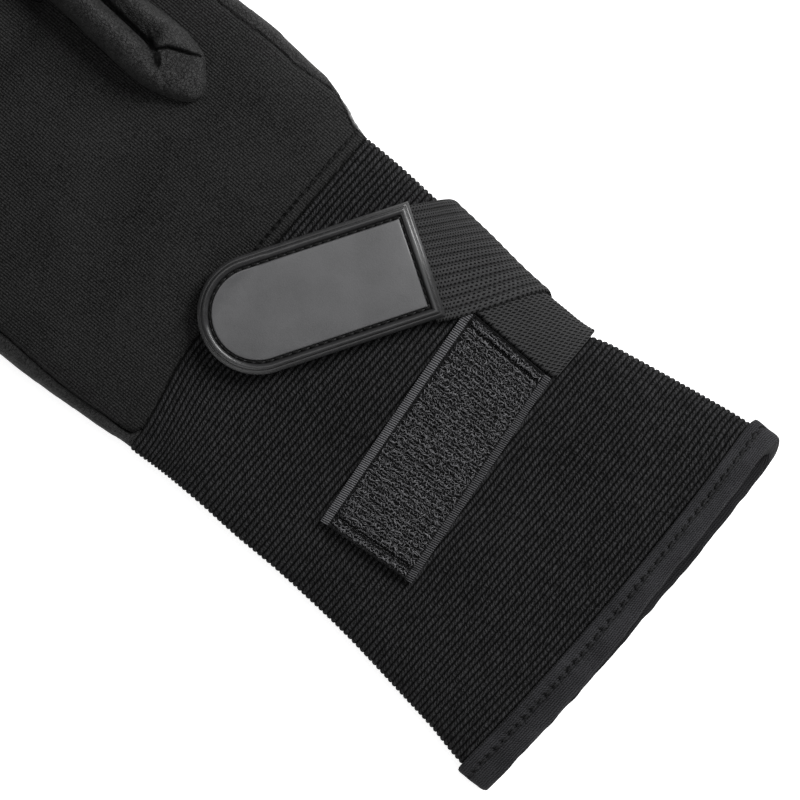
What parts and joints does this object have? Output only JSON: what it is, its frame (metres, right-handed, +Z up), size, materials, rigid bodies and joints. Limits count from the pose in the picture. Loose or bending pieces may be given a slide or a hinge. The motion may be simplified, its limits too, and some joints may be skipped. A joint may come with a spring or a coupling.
{
  "type": "fishing glove",
  "caption": "Long-cuffed left-hand fishing glove lying on its palm, with a ribbed cuff, wrist strap with moulded pull tab, loop patch and folded-back index fingertip.",
  "frame": {"origin": "middle of the glove's bounding box at the floor it lies on", "axes": "+Y from the hem towards the fingertips, +X towards the thumb and index side, +Z up out of the back of the hand"},
  "size_m": [0.13, 0.2754, 0.0266],
  "materials": {
    "rib_knit": "matt black elastic knit with fine ribs across the cuff",
    "smooth_knit": "matt dark grey fine knit binding with a straight stitch",
    "back_knit": "matt black dense knit with fine lines towards the fingers",
    "soft_leather": "smooth dark grey synthetic leather with a low sheen",
    "webbing": "ribbed charcoal elastic webbing",
    "loop_tape": "charcoal loop pile in rows between woven selvedges",
    "hook_tape": "black moulded hooks",
    "moulded_rubber": "satin charcoal moulded rubber with a stitched rim"
  },
  "bodies": {
    "root": {"cuff": "rib_knit", "hem_binding": "smooth_knit", "hand_back": "back_knit", "palm": "soft_leather", "index_cap": "soft_leather", "strap_base": "webbing", "loop_patch": "loop_tape", "pull_strap": "webbing", "rubber_tab": "moulded_rubber", "tab_hook": "hook_tape"}
  },
  "joints": []
}
